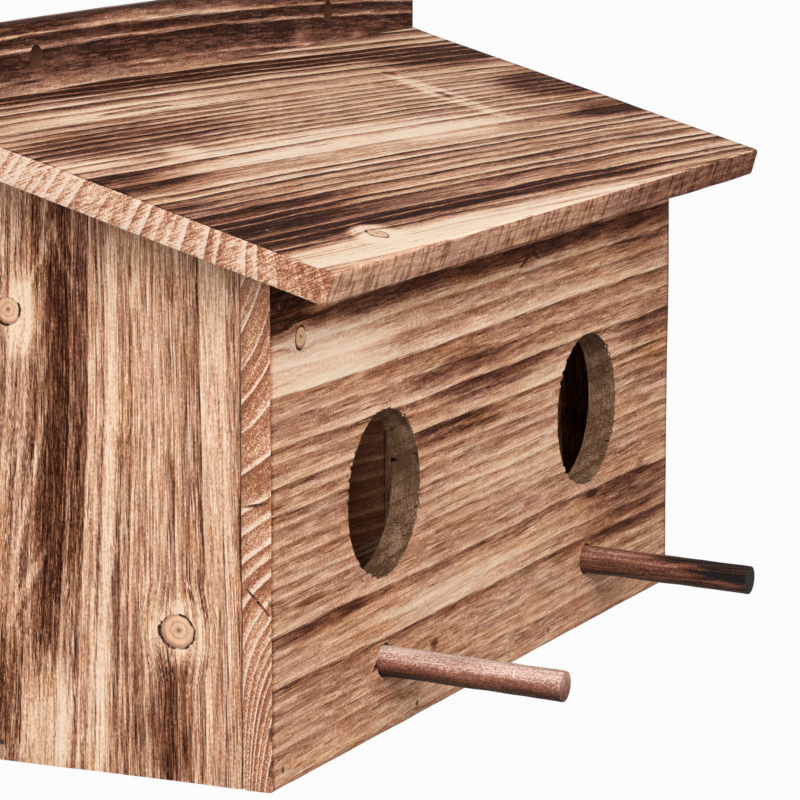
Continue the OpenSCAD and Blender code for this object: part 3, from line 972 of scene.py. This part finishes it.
class NESTBOX_OT_side_boards(bpy.types.Operator):
    """Two side boards with upright grain, sloped along the top"""

    bl_idname = "nestbox.side_boards"
    bl_label = "Side Boards"

    def execute(self, context):
        sizes = context.scene.nest_box_sizes
        colours = context.scene.nest_box_colours
        low, high = SIDE_LOW, SIDE_HIGH
        left = start_sloped("left_side_board", low, high, sizes.roof_pitch)
        ease(left, lambda p, part: sharp(part), sizes.end_break, 2)
        slice_up(left, (THICK_STEP, FACE_STEP, FACE_STEP))
        edit(left, False)
        bpy.ops.object.duplicate()
        right = context.active_object
        right.name = right.data.name = "right_side_board"
        edit(right)
        bpy.ops.mesh.select_all(action="SELECT")
        bpy.ops.transform.mirror(
            orient_type="GLOBAL", constraint_axis=(True, False, False), center_override=(0, 0, 0)
        )
        bpy.ops.mesh.flip_normals()
        edit(right, False)
        # A split in the left board, and the gap that its front edge leaves beside the front board
        marks = {
            "left": [
                pebble((SIDE_X, -6.4, 69.9), (0.5, 1.0, 2.6)),
                pebble((SIDE_X, low.y / MM, 74), (7, 1.4, 13)),
            ],
            "right": [],
        }
        for side, piece, grain in (("left", left, LEFT_GRAIN), ("right", right, RIGHT_GRAIN)):
            waver(piece, WAVE, sizes.board_waver)
            cut(piece, nail_pockets(sizes, piece.name) + marks[side])
            finish_piece(piece, side + "_side_panel", [
                flamed_board(
                    "flamed_fir_" + side, grain, colours, warmth=0.345, ring_gain=0.34, crest_gain=0.2, speck=0.3,
                    fibre=(18, 0.18, 0.95), streak=(220, 1.8, 0.1), hair=(60, 0.35, 0.3), flicker=0.35,
                    knot_show=0.8,
                ),
                sawn_end("sawn_fir_" + side + "_end", grain, colours),
            ], lambda p, n: 1 if abs(n.z) > FACING else 0)
        return {"FINISHED"}


class NESTBOX_OT_back_board(bpy.types.Operator):
    """Back board, wider than the box and higher than the roof, with its two hanging holes"""

    bl_idname = "nestbox.back_board"
    bl_label = "Back Board"

    def execute(self, context):
        sizes = context.scene.nest_box_sizes
        colours = context.scene.nest_box_colours
        low, high = BACK_LOW, BACK_HIGH
        piece = start_block("back_board", low, high)
        middle_y, hole_z = (low.y + high.y) / 2, high.z - sizes.hanging_drop
        holes = [(s * sizes.hanging_x, middle_y, hole_z) for s in (-1, 1)]
        cut(piece, [drill(hole, AHEAD, sizes.hanging_radius, THROUGH, DOWEL_SIDES) for hole in holes])
        edit(piece)
        # The long edges start beyond the hanging holes
        beyond = 0.1
        ease(
            piece, lambda p, part: along_x(part) and sharp(part) and abs(part.verts[0].co.x) > beyond,
            sizes.edge_ease, 4,
        )
        ease_ends(piece, high, sizes.end_break)
        season(piece, (FACE_STEP, THICK_STEP, FACE_STEP), WAVE, sizes.board_waver)
        cut(piece, nail_pockets(sizes, "back_board"))

        def which(p, n):
            if on_end(p, n, high):
                return 1
            from_middle = math.hypot(abs(p.x) - sizes.hanging_x, p.z - hole_z)
            if from_middle - sizes.hanging_radius < 0.8 * MM and abs(n.y) < FACING:
                return 2
            if n.y > FACING:
                return 4
            return 3 if n.y < -FACING and p.z < SIDE_HIGH.z and abs(p.x) < -SIDE_LOW.x else 0

        finish_piece(piece, "back_panel", [
            flamed_board(
                "flamed_fir_back", BACK_GRAIN, colours, warmth=0.82, crest_gain=0.62, fibre=(9, 0.4, 0.4),
                streak=(50, 1.2, 0.2), gold=0.9,
            ),
            sawn_end("sawn_fir_back_end", BACK_GRAIN, colours),
            # The hanging holes' walls are darker than the entrances': partly painted shade inside the holes
            bored_wall("bored_fir_back_painted_shade", BACK_GRAIN, colours, 0.66),
            # The inside of the back, seen through the entrances: planed fir given a deep brown that is partly
            # painted shade inside the box
            flamed_board(
                "planed_fir_back_painted_shade", INNER_GRAIN, colours, warmth=0.6, ring_gain=0.16, fibre=(14, 0.5, 0.16),
                streak=(60, 1.2, 0.06),
            ),
            flamed_board("flamed_fir_rear", REAR_GRAIN, colours),
        ], which)
        return {"FINISHED"}


class NESTBOX_OT_roof_board(bpy.types.Operator):
    """Roof board that slopes to the front, with a square front edge"""

    bl_idname = "nestbox.roof_board"
    bl_label = "Roof Board"

    def execute(self, context):
        sizes = context.scene.nest_box_sizes
        colours = context.scene.nest_box_colours
        low, high = ROOF_LOW, ROOF_HIGH
        thick = sizes.roof_thickness
        slope = math.tan(sizes.roof_pitch)
        front = Vector((0, ROOF_FRONT_Y, ROOF_FRONT_Z)) * MM
        under = front + Vector((0, math.sin(sizes.roof_pitch), -math.cos(sizes.roof_pitch))) * thick
        back_z = front.z + (high.y - front.y) * slope
        piece = start_block("roof_board", (low.x, front.y, under.z), (high.x, high.y, front.z))
        edit(piece)
        drop = thick / math.cos(sizes.roof_pitch)
        slide(piece, lambda p, part: p.y < 0 and p.z < under.z + NEAR, (0, under.y - front.y, 0))
        slide(piece, lambda p, part: p.y > 0 and p.z > front.z - NEAR, (0, 0, back_z - front.z))
        slide(piece, lambda p, part: p.y > 0 and p.z < under.z + NEAR, (0, 0, back_z - drop - under.z))
        ease(piece, lambda p, part: along_x(part) and p.y < 0, sizes.edge_ease, 4)
        ease_ends(piece, high, sizes.end_break)
        season(piece, (FACE_STEP, FACE_STEP, FACE_STEP), WAVE, sizes.board_waver)
        # With the nails' pockets, the long crack in the top
        cut(piece, nail_pockets(sizes, "roof_board") + [
            pebble(roof_top(-79, 115.5), (22, 0.6, 2.4), (sizes.roof_pitch, 0, math.radians(-3))),
        ])
        ahead = Vector((0, -math.cos(sizes.roof_pitch), -math.sin(sizes.roof_pitch)))

        def which(p, n):
            if on_end(p, n, high):
                return 1
            return 2 if n.dot(ahead) > 0.75 else 0

        finish_piece(piece, "roof_panel", [
            flamed_board(
                "flamed_fir_roof", ROOF_GRAIN, colours, warmth=0.29, ring_gain=0.95, crest_gain=0.26, thin=3.8,
                speck=0.22, fibre=(22, 0.4, 0.5), streak=(200, 1.6, 0.14), hair=(120, 0.5, 0.42), knot_show=0.8,
                gold=0.95,
            ),
            sawn_end(
                "sawn_fir_roof_end", ROOF_GRAIN, colours, warm=0.6, fall=-0.0032, edge_gain=0.34, line_gain=0.85
            ),
            flamed_board(
                "flamed_fir_roof_edge", FASCIA_GRAIN, colours, warmth=0.405, ring_gain=0.2, crest_gain=0.1,
                fibre=(9, 0.4, 0.3), chatter=0.22, gold=0.93,
            ),
        ], which)
        return {"FINISHED"}


class NESTBOX_OT_floor_board(bpy.types.Operator):
    """Floor board between the other boards"""

    bl_idname = "nestbox.floor_board"
    bl_label = "Floor Board"

    def execute(self, context):
        sizes = context.scene.nest_box_sizes
        colours = context.scene.nest_box_colours
        piece = start_block("floor_board", *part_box("floor_panel"))
        edit(piece)
        ease(piece, lambda p, part: sharp(part), sizes.end_break, 2)
        season(piece, (6 * MM, 6 * MM, THICK_STEP), WAVE, sizes.board_waver)
        finish_piece(piece, "floor_panel", [
            flamed_board("planed_fir_floor", FLOOR_GRAIN, colours, ring_gain=0.45),
        ])
        return {"FINISHED"}


class NESTBOX_OT_perches(bpy.types.Operator):
    """Two dowel perches, glued into the front board below the entrances"""

    bl_idname = "nestbox.perches"
    bl_label = "Perches"

    def execute(self, context):
        sizes = context.scene.nest_box_sizes
        colours = context.scene.nest_box_colours
        length = sizes.perch_reach + sizes.perch_socket
        left = drill((0, 0, 0), UP, sizes.perch_radius, length, DOWEL_SIDES)
        left.name = left.data.name = "left_perch_dowel"
        bpy.ops.object.transform_apply(location=True, rotation=True, scale=True)
        edit(left)
        ease(left, lambda p, part: flat_edge(part) and p.z > 0, sizes.perch_break, 3)
        select(left, "FACE", lambda p, part: abs(part.normal.z) > STRAIGHT)
        step = 1.6 * MM
        for _ in range(2):
            bpy.ops.mesh.inset(thickness=step, depth=0)
        season(left, (1, 1, step), 9 * MM, 0.3 * MM)
        bpy.ops.object.duplicate()
        right = context.active_object
        right.name = right.data.name = "right_perch_dowel"
        outward = Vector((0, -math.cos(sizes.perch_droop), -math.sin(sizes.perch_droop)))
        turn = Vector(UP).rotation_difference(outward).to_euler()
        middle = (sizes.perch_z - FRONT_LOW.y * math.tan(sizes.perch_droop)) / MM
        # Each skin and tip: how brown, where the char starts and is full, the painted shade below, over and line
        skins = {
            name: turned_dowel("turned_beech_" + name, colours, sizes.perch_droop, middle, *looks)
            for name, *looks in (
                ("left", 0.28, (300, 320), 0.7, 0.0, 0.08), ("left_end", 0.42, (300, 320), 0.3, 0.0, 0.2),
                ("right", 0.62, (97, 117), 0.25, 4.5, 0.32), ("right_end", 0.7, (80, 100), 0.6, 0.0, 0.1),
            )
        }
        for side, piece, name in ((-1, left, "left"), (1, right, "right")):
            root = Vector((side * sizes.entrance_x, FRONT_LOW.y, sizes.perch_z))
            piece.rotation_euler = turn
            piece.location = root + outward * (sizes.perch_reach - length / 2)
            pick(piece)
            bpy.ops.object.transform_apply(location=True, rotation=True, scale=True)
            finish_piece(piece, name + "_perch", [
                skins[name], skins[name + "_end"],
            ], lambda p, n: 1 if n.y < -0.9 else 0)
        return {"FINISHED"}


class NESTBOX_OT_nails(bpy.types.Operator):
    """Nails that hold the boards, their heads driven just below the wood"""

    bl_idname = "nestbox.nails"
    bl_label = "Nails"

    def execute(self, context):
        sizes = context.scene.nest_box_sizes
        steel = nail_steel("drawn_steel_nail", context.scene.nest_box_colours)
        first = drill((0, 0, -NAIL_LENGTH * MM / 2), UP, sizes.nail_radius, NAIL_LENGTH * MM, NAIL_SIDES)
        bpy.ops.object.transform_apply(location=True, rotation=True, scale=True)
        edit(first)
        ease(first, lambda p, part: flat_edge(part) and p.z > -1 * MM, 0.2 * MM, 2)
        select(first, "FACE", lambda p, part: part.normal.z < -STRAIGHT)
        bpy.ops.mesh.inset(thickness=0.25 * MM, depth=0)
        edit(first, False)
        for board, nails in NAILS.items():
            for i, (at, out) in enumerate(nails):
                pick(first)
                bpy.ops.object.duplicate()
                nail = context.active_object
                nail.name = nail.data.name = board + "_nail_" + str(i + 1)
                nail.rotation_euler = Vector(UP).rotation_difference(Vector(out)).to_euler()
                nail.location = (Vector(at) - Vector(out) * NAIL_SUNK) * MM
                bpy.ops.object.transform_apply(location=True, rotation=True, scale=True)
                finish_piece(nail, None, [steel])
        bpy.data.objects.remove(first, do_unlink=True)
        return {"FINISHED"}


class NESTBOX_OT_stage(bpy.types.Operator):
    """Studio: white paper floor, soft lamps and the camera"""

    bl_idname = "nestbox.stage"
    bl_label = "Studio"

    def seen_plain(self, tree):
        """1 for a ray from the camera, or by way of a shiny or clear surface, which sees plain white."""
        rays = add(tree, "LightPath").outputs
        seen = add(tree, "Math", (rays["Is Camera Ray"], rays["Is Glossy Ray"]), operation="MAXIMUM")
        return add(tree, "Math", (seen, rays["Is Transmission Ray"]), operation="MAXIMUM")

    def execute(self, context):
        scene = context.scene
        bpy.ops.object.select_all(action="DESELECT")
        bpy.ops.mesh.primitive_plane_add(size=16, location=(0, 0, -0.0005))
        floor = bpy.context.active_object
        floor.name = "studio_floor"
        material = bpy.data.materials.new("studio_paper")
        material.use_nodes = True
        tree = material.node_tree
        tree.nodes.clear()
        paper = add(tree, "BsdfDiffuse", {"Color": opaque(scene.nest_box_colours.studio)})
        glow = add(tree, "Emission", {"Color": WHITE, "Strength": 1.0})
        share = add(tree, "Math", (self.seen_plain(tree), 0.96), operation="MULTIPLY")
        mixed = add(tree, "MixShader", (share, paper, glow))
        add(tree, "OutputMaterial", {"Surface": mixed})
        floor.data.materials.append(material)

        world = bpy.data.worlds.new("studio")
        world.use_nodes = True
        scene.world = world
        tree = world.node_tree
        tree.nodes.clear()
        strength = add(tree, "MapRange", {"Value": self.seen_plain(tree), "To Min": 0.34, "To Max": 1.0})
        sky = add(tree, "Background", {"Color": WHITE, "Strength": strength})
        add(tree, "OutputWorld", {"Surface": sky})

        target = Vector((0, 0, 0.1))
        for name, place, size, power in (
            ("key_softbox", (-1.5, -1.9, 1.05), 1.6, 72.0),
            ("side_softbox", (-2.4, 0.15, 0.5), 1.6, 22.0),
            ("top_softbox", (0.3, -0.4, 2.4), 1.8, 8.0),
        ):
            lamp = bpy.data.lights.new(name, "AREA")
            lamp.shape = "SQUARE"
            lamp.size = size
            lamp.energy = power
            holder = bpy.data.objects.new(name, lamp)
            scene.collection.objects.link(holder)
            holder.location = place
            holder.rotation_euler = (target - Vector(place)).to_track_quat("-Z", "Y").to_euler()

        view = bpy.data.cameras.new("photo_view")
        view.sensor_width = 36.0
        view.lens = 177.98
        view.clip_end = 100.0
        eye = bpy.data.objects.new("photo_view", view)
        scene.collection.objects.link(eye)
        eye.location = (-1.13148, -0.55228, 0.30614)
        eye.rotation_euler = (math.pi / 2 - 0.173290, 0.0, -1.135320)
        scene.camera = eye
        scene.view_settings.view_transform = "Standard"
        return {"FINISHED"}


OPERATORS = (
    NESTBOX_OT_front_board, NESTBOX_OT_side_boards, NESTBOX_OT_back_board, NESTBOX_OT_roof_board,
    NESTBOX_OT_floor_board, NESTBOX_OT_perches, NESTBOX_OT_nails, NESTBOX_OT_stage,
)


class NESTBOX_PT_panel(bpy.types.Panel):
    """Buttons that dress the nest box"""

    bl_idname = "NESTBOX_PT_panel"
    bl_label = "Nest Box"
    bl_space_type = "VIEW_3D"
    bl_region_type = "UI"
    bl_category = "Nest Box"

    def draw(self, context):
        for operator in OPERATORS:
            self.layout.operator(operator.bl_idname)


CLASSES = (NestBoxSizes, NestBoxColours, *OPERATORS, NESTBOX_PT_panel)


def register():
    for cls in CLASSES:
        bpy.utils.register_class(cls)
    bpy.types.Scene.nest_box_sizes = bpy.props.PointerProperty(type=NestBoxSizes)
    bpy.types.Scene.nest_box_colours = bpy.props.PointerProperty(type=NestBoxColours)


def unregister():
    del bpy.types.Scene.nest_box_colours
    del bpy.types.Scene.nest_box_sizes
    for cls in reversed(CLASSES):
        bpy.utils.unregister_class(cls)


def main():
    register()
    for operator in OPERATORS:
        group, name = operator.bl_idname.split(".")
        getattr(getattr(bpy.ops, group), name)()


if __name__ == "__main__":
    main()
